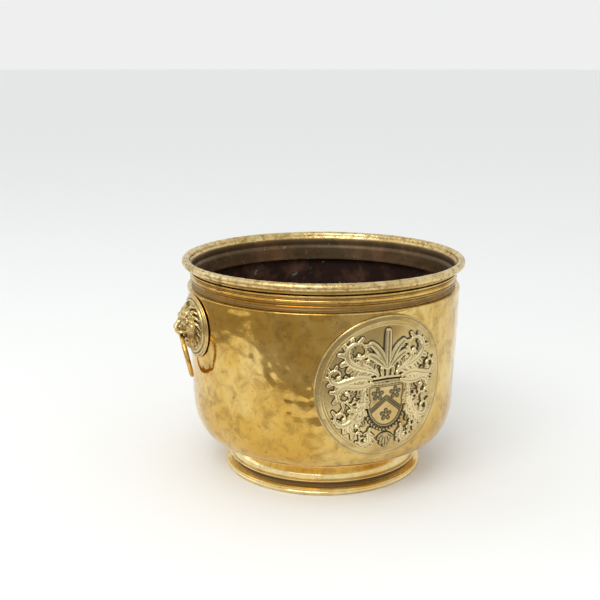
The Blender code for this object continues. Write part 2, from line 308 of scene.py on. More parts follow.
def makeBrass(name):
    # unlacquered brass, polished long ago: olive-brown clouds and dark pits; its recess value mixes in
    # painted shade and dirt in hollows, its polish value a painted highlight on crests with rub wear
    # where hands reach, and its inside value is the pot's brown lining
    f = brassFinishes[name]
    material, tree = newMaterial(name)
    place = addNode(tree, "ShaderNodeTexCoord").outputs["Object"]
    # each layer: its size, detail, roughness and distortion, the noise where it starts and where it is
    # full, and its least and greatest share
    layers = {"clouds": (f["cloud"], 3, 0.55, 0.0, 0.38, 0.66, 0, 1),
              "blotches": (f["blotch"], 6, 0.62, 0.6, 0.42, 0.72, 0, f["browning"]),
              "flecks": (f["fleck"], 2, 0.55, 0.0, 0.62, 0.74, 0, f["flecks"]),
              "roughness": (f["blotch"], 6, 0.62, 0.6, 0.3, 0.75, f["smooth"], f["dull"]),
              "streaks": (patina["streak"], 5, 0.65, 0.0, 0.42, 0.7, 0, 1),
              "salts": (patina["salt"], 6, 0.7, 1.0, 0.62, 0.7, 0, 0.7)}
    levels = {}
    for layer, (size, detail, uneven, distortion, *limits) in layers.items():
        noise = addNode(tree, "ShaderNodeTexNoise", {"Vector": place, "Scale": 1 / (size * mm),
                        "Detail": detail, "Roughness": uneven, "Distortion": distortion})
        levels[layer] = (noise, *limits)
    # recess holds painted shade with dirt in hollows and coves; polish holds a painted highlight on
    # crests with rub wear
    for stored, *limits in (("shade_and_dirt", 0.12, 0.8, 0, 1), ("inside", 0.2, 0.7, 0, 1),
                            ("wear_and_highlight", 0, 1, 0, patina["highlightAndWearShare"])):
        levels[stored] = (addNode(tree, "ShaderNodeAttribute", attribute_name=stored), *limits)
    share = {}
    for layer, (source, low, high, least, most) in levels.items():
        limited = addNode(tree, "ShaderNodeMapRange", {"Value": source.outputs["Fac"], "From Min": low,
                          "From Max": high, "To Min": least, "To Max": most},
                          interpolation_type="SMOOTHSTEP")
        share[layer] = limited.outputs["Result"]
    colour = linear(f["bright"])
    # clouds, blotches and flecks are random tarnish; polish mixes in a painted highlight with wear,
    # recess painted shade with dirt
    for layer, over in (("clouds", f["warm"]), ("blotches", f["brown"]), ("flecks", f["spot"]),
                        ("wear_and_highlight", patina["highlightAndWear"]), ("shade_and_dirt", f["shade_and_dirt"])):
        colour = addNode(tree, "ShaderNodeMix", {0: share[layer], 6: colour, 7: linear(over)},
                         data_type="RGBA").outputs[2]
    lining = linear(patina["dark"])
    for layer, over in (("streaks", patina["ridge"]), ("salts", patina["verdigris"])):
        lining = addNode(tree, "ShaderNodeMix", {0: share[layer], 6: lining, 7: linear(over)},
                         data_type="RGBA").outputs[2]
    colour = addNode(tree, "ShaderNodeMix", {0: share["inside"], 6: colour, 7: lining},
                     data_type="RGBA").outputs[2]
    metallic, rough = 1.0, share["roughness"]
    # painted shade with dirt also lowers the metal and raises the roughness
    for layer, metal in (("shade_and_dirt", patina["shadeAndDirtMetal"]), ("inside", patina["liningMetal"])):
        metallic = addNode(tree, "ShaderNodeMix", {0: share[layer], 2: metallic, 3: metal},
                           data_type="FLOAT").outputs[0]
        rough = addNode(tree, "ShaderNodeMix", {0: share[layer], 2: rough, 3: patina["shadeAndDirtRough"]},
                        data_type="FLOAT").outputs[0]
    scratches = addNode(tree, "ShaderNodeTexNoise", {"Vector": place, "Scale": 1 / (f["scratch"] * mm),
                        "Detail": 3, "Roughness": 0.6, "Distortion": 0.0})
    bump = addNode(tree, "ShaderNodeBump", {"Height": scratches.outputs["Fac"],
                   "Strength": f["scratched"], "Distance": patina["scratchDepth"] * mm})
    shader = addNode(tree, "ShaderNodeBsdfPrincipled", {"Base Color": colour, "Metallic": metallic,
                     "Roughness": rough, "Normal": bump.outputs["Normal"]})
    addNode(tree, "ShaderNodeOutputMaterial", {"Surface": shader.outputs["BSDF"]})
    return material


# each metal: its bright and dull colours, the size of its grain in millimetres and its roughness
fixingMetals = {"dull_iron_wire": ("#6A6560", "#4A3A30", 1.5, 0.55),
                "dull_zinc_plate": ("#9A9A96", "#6E675C", 1.2, 0.45)}


def makeFixingMetal(name):
    # drawn wire or plated steel gone dull: grey, with rust-brown grain and no polish left
    bright, dull, grain, roughness = fixingMetals[name]
    material, tree = newMaterial(name)
    place = addNode(tree, "ShaderNodeTexCoord").outputs["Object"]
    grainy = addNode(tree, "ShaderNodeTexNoise", {"Vector": place, "Scale": 1 / (grain * mm),
                     "Detail": 5, "Roughness": 0.65}).outputs["Fac"]
    share = addNode(tree, "ShaderNodeMapRange", {"Value": grainy, "From Min": 0.4, "From Max": 0.65})
    colour = addNode(tree, "ShaderNodeMix", {0: share.outputs["Result"], 6: linear(bright),
                     7: linear(dull)}, data_type="RGBA").outputs[2]
    bump = addNode(tree, "ShaderNodeBump", {"Height": grainy, "Strength": 0.3, "Distance": 0.2 * mm})
    shader = addNode(tree, "ShaderNodeBsdfPrincipled", {"Base Color": colour, "Metallic": 0.9,
                     "Roughness": roughness, "Normal": bump.outputs["Normal"]})
    addNode(tree, "ShaderNodeOutputMaterial", {"Surface": shader.outputs["BSDF"]})
    return material


def markHollows(piece, passes, reach):
    # stores how far each point lies below or above its surroundings, as a share of reach in millimetres
    points = getPoints(piece)
    edges = np.zeros(len(piece.data.edges) * 2, int)
    piece.data.edges.foreach_get("vertices", edges)
    a, b = edges.reshape(-1, 2).T
    count = np.bincount(a, minlength=len(points)) + np.bincount(b, minlength=len(points))
    smooth = points.copy()
    for _ in range(passes):
        total = np.column_stack([np.bincount(a, smooth[b, k], len(points))
                                 + np.bincount(b, smooth[a, k], len(points)) for k in range(3)])
        smooth = total / np.maximum(count, 1)[:, None]
    depth = ((smooth - points) * getNormals(piece)).sum(axis=1)
    # the depth below the surroundings is kept as painted shade with dirt, the height above as a painted
    # highlight with wear
    setValues(piece, "shade_and_dirt", np.clip(depth / reach, 0, 1))
    setValues(piece, "wear_and_highlight", np.clip(-depth / reach - 0.25, 0, 1))


bowlShape = {"turnRadius": 134.5, "turnHeight": 91.0, "floorRadius": 100.0, "bulge": 1.6,
             "turnPower": 2.7, "sheet": 1.4, "shoulderInner": 130.3, "steps": 480, "row": 1.7,
             "crestRound": 1.0, "shoulderRound": 3.0, "beats": ((46, 0.5), (12, 0.42))}
# knocks: how many, where they gather in degrees round and in height, and their sizes
dings = {"count": 150, "seed": 7, "around": -130, "spread": 34, "heights": (48, 105, 176),
         "wide": (2.2, 4.6), "tall": (2.6, 7.5), "deep": (0.15, 0.55), "belowCrest": 6, "fade": 4}


def wallRadius(z):
    # outer radius of the bowl at a height, both in millimetres; z may be an array
    b = bowlShape
    z = np.asarray(z, float)
    down = np.clip((crestHeight - z) / (crestHeight - b["turnHeight"]), 0, 1)
    upper = crestRadius - (crestRadius - b["turnRadius"]) * down ** b["bulge"]
    down = np.clip((b["turnHeight"] - z) / (b["turnHeight"] - floorHeight), 0, 1)
    across = (1 - down ** b["turnPower"]) ** (1 / b["turnPower"])
    lower = b["floorRadius"] + (b["turnRadius"] - b["floorRadius"]) * across
    return np.where(z >= b["turnHeight"], upper, lower)


def turnedCorner(sheet, count):
    # the rounded corner between wall and floor, as outline points from the floor up
    b = bowlShape
    angles = np.linspace(math.pi / 2, 0, count)
    across = np.clip(np.cos(angles), 0, 1) ** (2 / b["turnPower"])
    down = np.clip(np.sin(angles), 0, 1) ** (2 / b["turnPower"])
    wide = b["turnRadius"] - b["floorRadius"] - sheet
    tall = b["turnHeight"] - floorHeight - sheet
    return [(b["floorRadius"] + wide * c, b["turnHeight"] - tall * s) for c, s in zip(across, down)]


def dingWall(bowl, lined):
    # shallow knocks in the wall, most of them low on the front and the left
    draw = np.random.default_rng(dings["seed"])
    p = getPoints(bowl)
    angle = np.degrees(np.arctan2(p[:, 1], p[:, 0]))
    away = np.hypot(p[:, 0], p[:, 1])
    push = np.zeros(len(p))
    for i in range(dings["count"]):
        at = draw.normal(dings["around"], dings["spread"]) if i % 3 else draw.uniform(-180, 180)
        z = draw.triangular(*dings["heights"])
        wide = draw.uniform(*dings["wide"])
        tall = draw.uniform(*dings["tall"])
        depth = draw.uniform(*dings["deep"])
        across = np.radians((angle - at + 180) % 360 - 180) * away
        near = np.exp(-(across / wide) ** 2 - ((p[:, 2] - z) / tall) ** 2)
        push = np.maximum(push, depth * near)
    push *= (1 - lined) * np.clip((crestHeight - dings["belowCrest"] - p[:, 2]) / dings["fade"], 0, 1)
    p[:, :2] *= (1 - push / np.maximum(away, 1))[:, None]
    setPoints(bowl, p)


def makeBowl(brass):
    b = bowlShape
    heights = np.arange(b["turnHeight"] + b["row"], crestHeight - 1.5, b["row"])
    outer = [(float(wallRadius(z)), float(z)) for z in heights]
    outline = divided([(0.0, floorHeight), (b["floorRadius"], floorHeight)], 12)
    outline += turnedCorner(0.0, 52)[1:] + outer
    outline += arcPoints(crestRadius - b["crestRound"], crestHeight - b["crestRound"], b["crestRound"],
                         0, 90, 6)
    outline += divided([(crestRadius - 2.0, crestHeight), (b["shoulderInner"] + 0.3, crestHeight)], 2)
    outline += [(b["shoulderInner"], crestHeight - 0.3),
                (b["shoulderInner"], crestHeight - b["sheet"] + 0.3),
                (b["shoulderInner"] + 0.3, crestHeight - b["sheet"])]
    turn = b["sheet"] + b["shoulderRound"]
    outline += arcPoints(crestRadius - turn, crestHeight - turn, b["shoulderRound"], 90, 0, 6)
    outline += [(r - b["sheet"], z) for r, z in reversed(outer[:-3:3])]
    outline += list(reversed(turnedCorner(b["sheet"], 18)))
    outline += divided([outline[-1], (0.0, floorHeight + b["sheet"])], 12)[1:]
    bowl = turnOnLathe("spun_bowl", outline, b["steps"])
    p = getPoints(bowl)
    away = np.hypot(p[:, 0], p[:, 1])
    lined = ((away < wallRadius(p[:, 2]) - 0.5 * b["sheet"]) & (p[:, 2] > floorHeight + 0.5 * b["sheet"])
             & ((p[:, 2] < crestHeight - 0.5) | (away < b["shoulderInner"] + 1))).astype(float)
    setValues(bowl, "inside", lined)
    wall = paintGroup(bowl, "wall", lambda p: np.clip((crestHeight - 1.5 - p[:, 2]) / 6, 0, 1)
                      * np.clip((p[:, 2] - floorHeight - 4) / 12, 0, 1) * (1 - lined))
    for size, depth in b["beats"]:
        beatMetal(bowl, "CLOUDS", size, depth, wall, noise_depth=1)
    dingWall(bowl, lined)
    finishPiece(bowl, "pot", "body_brass", brass, "bowl")


# the height, half width and strength of each line of painted shade, in the coves, between the mouldings
# and under the rim
collarShape = {"sheet": 1.2, "rollRadius": 138.65, "rollHeight": 214.25, "rollOuter": 4.2,
               "rollEnd": -130, "steps": 640, "row": 1.3, "rimFrom": 211.5, "lined": 0.61,
               "wave": (30, 0.35), "pits": (3.4, 0.5),
               "shadeLines": ((192.4, 2.6, 0.62), (198.0, 0.5, 0.7), (202.7, 0.7, 0.75), (208.6, 2.0, 0.5))}
hook = {"angle": -161, "height": 202.6, "radius": 3.0, "half": 0.9, "raise": 0.9, "stain": 2.6,
        "stainOut": 1.2, "green": 0.6, "reach": 8}


def hookScar(p):
    # the C-shaped stump of a lost hook on the collar, with its stain
    angle = np.degrees(np.arctan2(p[:, 1], p[:, 0]))
    across = np.radians((angle - hook["angle"] + 180) % 360 - 180) * np.hypot(p[:, 0], p[:, 1])
    up = p[:, 2] - hook["height"]
    away = np.hypot(across, up)
    closed = np.clip(1.5 - 2 * np.exp(-((across + 2) ** 2 + (up - 2) ** 2) / 3), 0, 1)
    ridge = np.exp(-((away - hook["radius"]) / hook["half"]) ** 2) * closed
    outside = away - hook["radius"] - hook["stainOut"]
    stain = np.exp(-(outside / hook["stain"] * 1.6) ** 2) * (1 - ridge)
    return hook["raise"] * ridge, hook["green"] * stain * (away < hook["reach"])


def makeCollar(brass, pitted):
    c = collarShape
    bottom = collarBottom
    # up the outside: cove, fillet, bold moulding, fine bead and the flare under the rim
    outline = [(133.4, bottom), (133.4, bottom + 0.5)]
    outline += arcPoints(134.4, 193.8, 3.1, 245, 115, 12)
    outline += [(134.2, 196.8), (134.6, 197.1), (134.65, 197.6), (134.5, 198.1), (134.0, 198.4)]
    outline += arcPoints(133.3, 200.1, 1.75, -62, 62, 9)
    outline += [(133.6, 201.9), (133.2, 202.4), (133.1, 203.1), (133.4, 203.7)]
    outline += arcPoints(134.2, 204.8, 0.95, -70, 70, 7)
    outline += [(133.9, 206.0), (133.3, 206.9), (133.1, 208.2), (133.3, 209.6), (133.9, 211.0),
                (134.8, 212.6)]
    # the edge, rolled outwards round the rim's wire and back
    rolled = c["rollRadius"], c["rollHeight"]
    outline += arcPoints(*rolled, c["rollOuter"] - c["sheet"], 180, c["rollEnd"], 12)
    outline += arcPoints(*rolled, c["rollOuter"], c["rollEnd"], 180, 30)
    # down the inside, to a thin flange that covers the bowl's shoulder
    outline += [(133.9, 212.6), (132.9, 211.2), (132.4, 209.6), (132.2, 207.8)]
    outline += arcPoints(135.6, 199.8, 5.6, 125, 180, 8)
    outline += [(129.8, 196.8), (129.4, 190.0), (129.4, 188.2), (129.8, 188.2), (129.8, bottom),
                (133.4, bottom)]
    collar = turnOnLathe("moulded_collar", divided(outline, c["row"]), c["steps"])
    p = getPoints(collar)
    n = getNormals(collar)
    inward = -(n[:, 0] * p[:, 0] + n[:, 1] * p[:, 1]) / np.hypot(p[:, 0], p[:, 1])
    belowRim = np.clip((212.5 - p[:, 2]) / 1.5, 0, 1)
    setValues(collar, "inside", np.clip(inward / 0.3, 0, c["lined"]) * belowRim)
    # painted shade: dark lines along the coves and under the rim, on the outer faces only; the hook's
    # real stain joins them
    shade_and_dirt = np.zeros(len(p))
    for z, half, strength in c["shadeLines"]:
        shade_and_dirt = np.maximum(shade_and_dirt, strength * np.clip(1.4 - np.abs(p[:, 2] - z) / half, 0, 1))
    shade_and_dirt *= np.clip(1 - inward / 0.3, 0, 1)
    raised, green = hookScar(p)
    setValues(collar, "shade_and_dirt", np.maximum(shade_and_dirt, green))
    p[:, :2] *= (1 + raised / np.hypot(p[:, 0], p[:, 1]) * (inward < 0))[:, None]
    setPoints(collar, p)
    rim = paintGroup(collar, "rim", lambda p: np.clip((p[:, 2] - 210.2) / 1.5, 0, 1))
    thick = paintGroup(collar, "above_flange", lambda p: np.clip((p[:, 2] - 189.5) / 2, 0, 1))
    beatMetal(collar, "CLOUDS", *c["wave"], thick, noise_depth=1)
    beatMetal(collar, "CLOUDS", *c["pits"], rim, noise_depth=3)
    finishPiece(collar, "pot", "body_brass", brass, "neck_collar")
    collar.data.materials.append(pitted)
    onRim = [int(f.center.z > c["rimFrom"] * mm) for f in collar.data.polygons]
    collar.data.polygons.foreach_set("material_index", onRim)


footShape = {"sheet": 1.2, "steps": 400, "row": 1.3, "hollows": (12, 1.3), "wave": (30, 0.2)}


def makeFoot(brass):
    top = footTop
    f = footShape
    # down the outside: ogee, fillet, scotia and base bead; then up the inside of the sheet
    outline = [(84.0, top), (92.2, top), (91.7, 31.4), (91.4, 29.6), (91.5, 27.8), (91.9, 26.2),
               (92.6, 24.7), (93.5, 23.2), (94.6, 21.7), (95.6, 20.3), (96.4, 19.0), (96.9, 17.6),
               (97.0, 16.3), (96.7, 15.2), (96.1, 14.6), (96.0, 14.3), (97.2, 13.9), (97.6, 13.4),
               (97.6, 12.7), (97.2, 12.3), (95.4, 11.7), (93.9, 10.9), (93.0, 9.7), (92.8, 8.6),
               (93.4, 7.6), (95.0, 7.0), (98.5, 6.7), (100.8, 6.5), (101.2, 6.1), (101.2, 5.6),
               (100.9, 5.2), (100.7, 4.8)]
    outline += arcPoints(99.8, 2.55, 2.1, 62, -60, 11)
    outline += [(100.2, 0.15), (99.7, 0.0), (97.4, 0.0), (97.0, 0.3), (96.6, 5.2), (95.0, 5.7),
                (92.0, 6.4), (91.4, 8.6), (91.8, 11.0), (94.8, 13.2), (95.4, 16.4), (94.6, 18.8),
                (92.0, 22.2), (90.2, 26.4), (89.9, 30.4), (89.5, top - f["sheet"]),
                (84.0, top - f["sheet"]), (84.0, top)]
    foot = turnOnLathe("turned_foot", divided(outline, f["row"]), f["steps"])
    # the foot's coves get painted shade with dirt, its beads and torus a painted highlight with wear
    markHollows(foot, *f["hollows"])
    beatMetal(foot, "CLOUDS", *f["wave"], None, noise_depth=1)
    finishPiece(foot, "pot", "body_brass", brass, "foot_ring")


# medallion: stamped sheet, soldered on

# borders: the radius and height of each raised line round the field
medallionShape = {"radius": 69.0, "height": 118.0, "back": 0.35, "field": 1.15, "cells": 232,
                  "facing": -90, "borders": ((62.5, 0.45), (60.3, 0.3)), "borderHalf": 0.5,
                  "edgeBead": 0.7, "edgeBeadIn": 0.7, "edgeBeadHalf": 0.6, "edgeShadeIn": 2.2,
                  "groove": 0.55, "backRings": (0.85, 0.8, 0.7, 0.5), "highlightAndWearFrom": 1.0, "highlightAndWearOver": 1.6}
relief = {"spine": 3.4, "leaf": 2.7, "shield": 1.0, "shieldHalf": 18.0, "shieldTop": 2.5,
          "shieldPoint": -37.0, "tarnishAndShadeReach": 1.1, "curlIn": 0.68}
# each scroll: where it leaves the centre, its heading, its eye, its size, where its curl starts and
# how far it turns, its half width, and the length of its leaves
scrolls = [((10, 14), 40, (28, 36), 12.5, -60, 330, 4.2, 9.5),
           ((16, 17), 75, (21, 29), 5.5, -40, 260, 3.4, 7.0),
           ((16, 10), 22, (48, 15), 8.0, -100, 330, 4.0, 8.0),
           ((15, 6), -20, (40, -5), 9.0, 95, -330, 4.2, 9.0),
           ((22, 0), -60, (30, -14), 6.0, -110, 290, 3.4, 7.0),
           ((24, -12), -60, (43, -26), 8.0, -115, 330, 4.0, 8.5),
           ((23, -24), -80, (30, -37), 7.0, 75, -320, 3.6, 8.0),
           ((16, -38), -60, (22, -49), 5.0, -110, 300, 3.0, 6.0)]


def onWall(across, up, proud, facing, centreHeight):
    # lays flat work on the wall; facing is the direction, in degrees, of the wall that carries it
    z = centreHeight + up
    a = math.radians(facing) + across / crestRadius
    r = wallRadius(z) + proud
    return np.column_stack([r * np.cos(a), r * np.sin(a), z])


def getPoints(piece):
    co = np.zeros(len(piece.data.vertices) * 3)
    piece.data.vertices.foreach_get("co", co)
    return co.reshape(-1, 3) / mm


def getNormals(piece):
    normals = np.zeros(len(piece.data.vertices) * 3)
    piece.data.vertices.foreach_get("normal", normals)
    return normals.reshape(-1, 3)


def setPoints(piece, points):
    piece.data.vertices.foreach_set("co", (points * mm).ravel())
    piece.data.update()


def setValues(piece, name, values):
    layer = piece.data.attributes.new(name, "FLOAT", "POINT")
    layer.data.foreach_set("value", np.asarray(values, float))


def stroke(px, py, widths, height, groove=0.0, mirror=True):
    # a rounded line of relief through flat points, and its mirror image on the left
    made = [(np.array(px, float), np.array(py, float), np.array(widths, float), height, groove)]
    return made + [(-made[0][0],) + made[0][1:]] if mirror else made


def leaf(x, y, heading, length, bend, width, height, mirror=True):
    # a blunt leaf with a vein, whose bend grows towards its tip
    t = np.linspace(0, 1, 8)
    turn = np.radians(heading) + bend * length * t * t
    px = x + np.concatenate([[0], np.cumsum(np.cos(turn[1:])) * length / 7])
    py = y + np.concatenate([[0], np.cumsum(np.sin(turn[1:])) * length / 7])
    return stroke(px, py, width * np.sqrt(np.sin(np.pi * (0.1 + 0.62 * t))), height, 0.7, mirror)


def scroll(root, heading, eye, size, start, turn, width, leafLength):
    # a stem that rolls up into an eye, with leaves along its outer side and a few on the inner side
    t = np.linspace(0, 1, 34)
    a = np.radians(start + turn * t)
    curlX = eye[0] + size * (1 - relief["curlIn"] * t) * np.cos(a)
    curlY = eye[1] + size * (1 - relief["curlIn"] * t) * np.sin(a)
    side = math.copysign(1, turn)
    reach = 0.45 * math.hypot(curlX[0] - root[0], curlY[0] - root[1])
    h = math.radians(heading)
    ends = [np.array(root, float), np.array(root) + reach * np.array([math.cos(h), math.sin(h)]),
            np.array([curlX[0] + side * reach * math.sin(a[0]),
                      curlY[0] - side * reach * math.cos(a[0])]),
            np.array([curlX[0], curlY[0]])]
    s = np.linspace(0, 1, 14)[:-1, None]
    stem = (ends[0] * (1 - s) ** 3 + 3 * ends[1] * s * (1 - s) ** 2 + 3 * ends[2] * s * s * (1 - s)
            + ends[3] * s ** 3)
    px = np.concatenate([stem[:, 0], curlX])
    py = np.concatenate([stem[:, 1], curlY])
    run = np.concatenate([[0], np.cumsum(np.hypot(np.diff(px), np.diff(py)))])
    share = run / run[-1]
    made = []
    for at in np.arange(3.0, run[-1] * 0.84, leafLength * 0.66):
        x, y = np.interp(at, run, px), np.interp(at, run, py)
        x2, y2 = np.interp(at + 0.8, run, px), np.interp(at + 0.8, run, py)
        way = math.degrees(math.atan2(y2 - y, x2 - x))
        length = leafLength * (1.15 - 0.65 * at / run[-1])
        made += leaf(x, y, way - side * 30, length, -side * 0.1, length * 0.38, relief["leaf"])
        if at < run[-1] * 0.6:
            made += leaf(x, y, way + side * 34, length * 0.8, side * 0.1, length * 0.3,
                         relief["leaf"] * 0.85)
    widths = width * (0.55 + 0.45 * np.sin(np.pi * np.minimum(share * 1.3, 1))) * (1 - 0.45 * share)
    made += stroke(px, py, widths, relief["spine"], 0.9)
    eyeBall = [py[-1], py[-1] + 0.01]
    return made + stroke([px[-1]] * 2, eyeBall, [width * 0.7] * 2, relief["spine"] + 0.3)


def shieldEdge(grow, count=40):
    # right half of a heater shield, grown outwards, from its top centre to its point
    half = relief["shieldHalf"] + grow
    top = relief["shieldTop"] + grow * 0.6
    drop = np.linspace(0, 1, count)
    side = half * np.sqrt(np.clip(1 - np.clip((drop - 0.35) / 0.65, 0, 1) ** 2.2, 0, 1))
    return (np.concatenate([np.linspace(0, half, 8)[:-1], side]),
            np.concatenate([np.full(7, top), top - (top - relief["shieldPoint"] + grow) * drop]))


def rosette(x, y, size, mirror):
    # a boss with five petals
    made = stroke([x, x + 0.01], [y, y], [0.34 * size] * 2, 2.3, 0, mirror)
    for k in range(5):
        a = math.radians(72 * k + 90)
        made += stroke([x + 0.5 * size * math.cos(a), x + size * math.cos(a)],
                       [y + 0.5 * size * math.sin(a), y + size * math.sin(a)],
                       [0.3 * size, 0.42 * size], 1.8, 0.3, mirror)
    return made


def medallionDesign():
    # a stock ornament: chevron and rosettes on a corded shield, under a leafy coronet and a palmette
    made = []
    for one in scrolls:
        made += scroll(*one)
    for angle, length in ((90, 34), (70, 28), (48, 20)):
        made += leaf(3 * math.cos(math.radians(angle)), 20, angle, length, -0.02 if angle < 90 else 0.0,
                     4.2, 2.6, angle < 90)
    for x in (0.0, 5.0, 10.0):
        made += leaf(x, 12.5, 90 - 1.5 * x, 6.5, 0.0, 2.4, 2.8, x > 0)
    made += stroke([0, 13], [11, 10.2], [1.6, 1.6], 2.5) + stroke([0, 12], [7.4, 6.8], [1.2, 1.2], 2.1)
    made += stroke(*shieldEdge(0), np.full(47, 1.1), 2.0)
    cordX, cordY = shieldEdge(3.8, 60)
    run = np.concatenate([[0], np.cumsum(np.hypot(np.diff(cordX), np.diff(cordY)))])
    for at in np.arange(0.0, run[-1], 3.6):
        ends = np.array([at, at + 2.6])
        made += stroke(np.interp(ends, run, cordX) + (-0.8, 0.8),
                       np.interp(ends, run, cordY) + (-0.4, 0.4), [1.3, 1.3], 2.2, 0.3)
    made += stroke([0, 15.6], [-9.5, -22], [2.0, 2.0], 1.9, 0.6)
    made += rosette(9, -5.5, 4.2, True) + rosette(0, -26, 4.2, False)
    for heading, length in ((-90, 12), (-60, 10), (-28, 8)):
        made += leaf(0, -44.5, heading, length, -0.03 if heading > -90 else 0.0, 2.6, 2.3, heading > -90)
    return made


def raiseRelief(x, y):
    # height over the field, and tarnish with painted shade from 0 to 1, at each point of the disc
    height = np.zeros(len(x))
    near = np.zeros(len(x))
    vein = np.zeros(len(x))
    edgeX, edgeY = shieldEdge(0)
    shieldHere = np.interp(-y, -edgeY[7:], edgeX[7:], left=0, right=0)
    onShield = (np.abs(x) < shieldHere) & (y < relief["shieldTop"])
    height[onShield] = relief["shield"]
    for px, py, widths, tall, groove in medallionDesign():
        reach = widths.max() + relief["tarnishAndShadeReach"]
        here = np.flatnonzero((x > px.min() - reach) & (x < px.max() + reach)
                              & (y > py.min() - reach) & (y < py.max() + reach))
        crown = np.zeros(len(here))
        dip = np.zeros(len(here))
        edge = np.full(len(here), 9.0)
        for i in range(len(px) - 1):
            dx, dy = px[i + 1] - px[i], py[i + 1] - py[i]
            along = (x[here] - px[i]) * dx + (y[here] - py[i]) * dy
            t = np.clip(along / (dx * dx + dy * dy + 1e-9), 0, 1)
            away = np.hypot(x[here] - px[i] - t * dx, y[here] - py[i] - t * dy)
            width = np.maximum(widths[i] + (widths[i + 1] - widths[i]) * t, 0.05)
            share = away / width
            rise = np.sqrt(np.clip(1 - share ** 2, 0, 1)) * tall * np.minimum(width / 1.4, 1) ** 0.5
            dent = groove * np.exp(-(share / 0.26) ** 2) * np.clip(width - 0.7, 0, 1)
            dip = np.where(rise > crown, dent, dip)
            crown = np.maximum(rise, crown)
            edge = np.minimum(edge, away - width)
        top = crown - dip > height[here]
        height[here] = np.where(top, crown - dip, height[here])
        vein[here] = np.where(top, dip, vein[here])
        # darker on the field close beside the raised work: painted shade with tarnish
        edgeShadeAndDirt = np.clip(1 - np.maximum(edge, 0) / relief["tarnishAndShadeReach"], 0, 1)
        near[here] = np.maximum(near[here], edgeShadeAndDirt)
    m = medallionShape
    away = np.hypot(x, y)
    inner = np.clip(m["borders"][1][0] - away, 0, 1)
    height *= inner
    # painted shade with tarnish on low ground near the relief and in the leaf veins
    tarnishAndShade = inner * (near * np.clip(1.3 - height / 1.9, 0, 1) + 0.5 * vein)
    for at, tall in m["borders"]:
        height += tall * np.exp(-((away - at) / m["borderHalf"]) ** 2)
    height += m["edgeBead"] * np.exp(-((away - m["radius"] + m["edgeBeadIn"]) / m["edgeBeadHalf"]) ** 2)
    # a painted line of shade just inside the edge bead; the shape has no groove here
    groove = np.exp(-((away - m["radius"] + m["edgeShadeIn"]) / m["edgeBeadHalf"]) ** 2)
    tarnishAndShade = np.maximum(tarnishAndShade, m["groove"] * groove)
    return height, np.clip(tarnishAndShade, 0, 1)


def makeMedallion(brass):
    m = medallionShape
    startClean()
    bpy.ops.mesh.primitive_grid_add(x_subdivisions=m["cells"], y_subdivisions=m["cells"], size=2 * mm)
    piece = bpy.context.object
    uv = getPoints(piece)
    u, v = uv[:, 0], uv[:, 1]
    disc = np.column_stack([u * np.sqrt(1 - v * v / 2), v * np.sqrt(1 - u * u / 2), u * 0]) * m["radius"]
    setPoints(piece, disc)
    bpy.ops.object.mode_set(mode="EDIT")
    bpy.ops.mesh.select_mode(type="EDGE")
    bpy.ops.mesh.select_all(action="DESELECT")
    bpy.ops.mesh.select_non_manifold()
    down = (0, 0, (m["back"] - m["field"]) * mm)
    bpy.ops.mesh.extrude_region_move(TRANSFORM_OT_translate={"value": down})
    for shrink in m["backRings"]:
        bpy.ops.mesh.extrude_region_move(TRANSFORM_OT_translate={"value": (0, 0, 0)})
        bpy.ops.transform.resize(value=(shrink, shrink, 1), center_override=(0, 0, 0))
    bpy.ops.mesh.merge(type="CENTER")
    bpy.ops.object.mode_set(mode="OBJECT")
    flat = getPoints(piece)
    front = np.arange(len(flat)) < len(uv)
    height, tarnishAndShade = raiseRelief(flat[front, 0], flat[front, 1])
    proud = np.full(len(flat), m["back"])
    proud[front] = m["field"] + height
    shade_and_dirt = np.zeros(len(flat))
    shade_and_dirt[front] = tarnishAndShade
    setPoints(piece, onWall(flat[:, 0], flat[:, 1], proud, m["facing"], m["height"]))
    setValues(piece, "shade_and_dirt", shade_and_dirt)
    # the raised work is lightened as a painted highlight with its rub wear, less where the painted shade
    # lies
    crestHighlightAndWear = np.clip((proud - m["field"] - m["highlightAndWearFrom"]) / m["highlightAndWearOver"], 0, 1)
    setValues(piece, "wear_and_highlight", crestHighlightAndWear * (1 - shade_and_dirt))
    settle(piece, "stamped_medallion", 60)
    finishPiece(piece, "pot", "medallion_brass", brass, "medallion")


# lion masks, cast, with the mouth bored for the ring
maskShape = {"height": 158.2, "back": 0.35, "voxel": 0.42, "hollows": (14, 0.42)}
# lean is how far the ring's lower edge hangs in towards the bowl, in degrees; slack is the room that
# the mouth leaves round its wire, and spread how much more the hair beside the mouth leaves
ringShape = {"wire": 2.35, "radius": 20.2, "lean": 13.0, "slack": 0.45, "boreHalf": 15.0, "spread": 0.1,
             "hairLow": 6.4, "hairFrom": 7.5, "hairOver": 2.5, "wave": (9, 0.3)}


def ringPlace(side):
    # where a ring's hinge frame is: its Y along the joint's axis, its X outwards
    joint = next(j for j in frame["joints"] if j["name"] == f"ring_{side}_swing")
    along = -Vector(joint["axis"])
    outward = along.cross(Vector((0, 0, 1)))
    turn = Matrix((outward, along, Vector((0, 0, 1)))).transposed().to_4x4()
    return Matrix.Translation(Vector(joint["pos_m"])) @ turn


def addBall(x, up, proud, sizes, turn=0):
    # an ellipsoid in the flat mask; sizes run across, proud and up
    startClean()
    bpy.ops.mesh.primitive_uv_sphere_add(segments=28, ring_count=16, radius=mm,
                                         location=(x * mm, -proud * mm, up * mm),
                                         rotation=(0, math.radians(turn), 0), scale=sizes)
    return bpy.context.object


